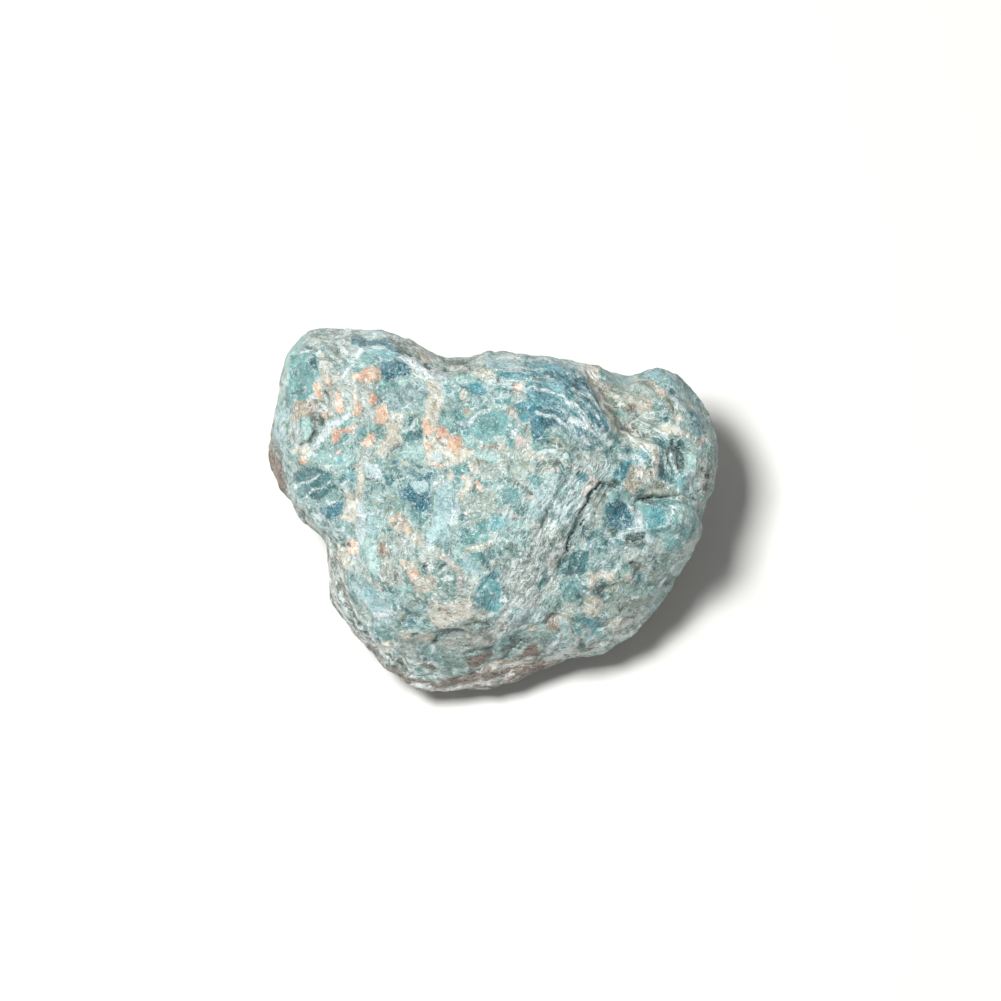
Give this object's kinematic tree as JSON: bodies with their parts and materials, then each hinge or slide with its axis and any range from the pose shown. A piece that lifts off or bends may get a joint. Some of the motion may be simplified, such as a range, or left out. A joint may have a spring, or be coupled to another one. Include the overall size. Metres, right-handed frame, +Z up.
{
  "type": "rough apatite",
  "caption": "Hand-sized rough chunk of blue-green apatite with cream and peach calcite veins, notched along its top edge, resting on a small flat spot.",
  "frame": {"origin": "middle of the stone's box, at the level of the flat spot that it rests on", "axes": "+X along the long side of the broad face, +Y toward its notched top edge, +Z up from the flat spot; the broad face looks up and leans 15 degrees toward -Y"},
  "size_m": [0.0718, 0.0558, 0.0403],
  "materials": {
    "apatite": "rough broken mineral, sugary with glassy grains, mottled blue, teal, cream and peach"
  },
  "bodies": {
    "root": {"rough_apatite": "apatite"}
  },
  "joints": []
}
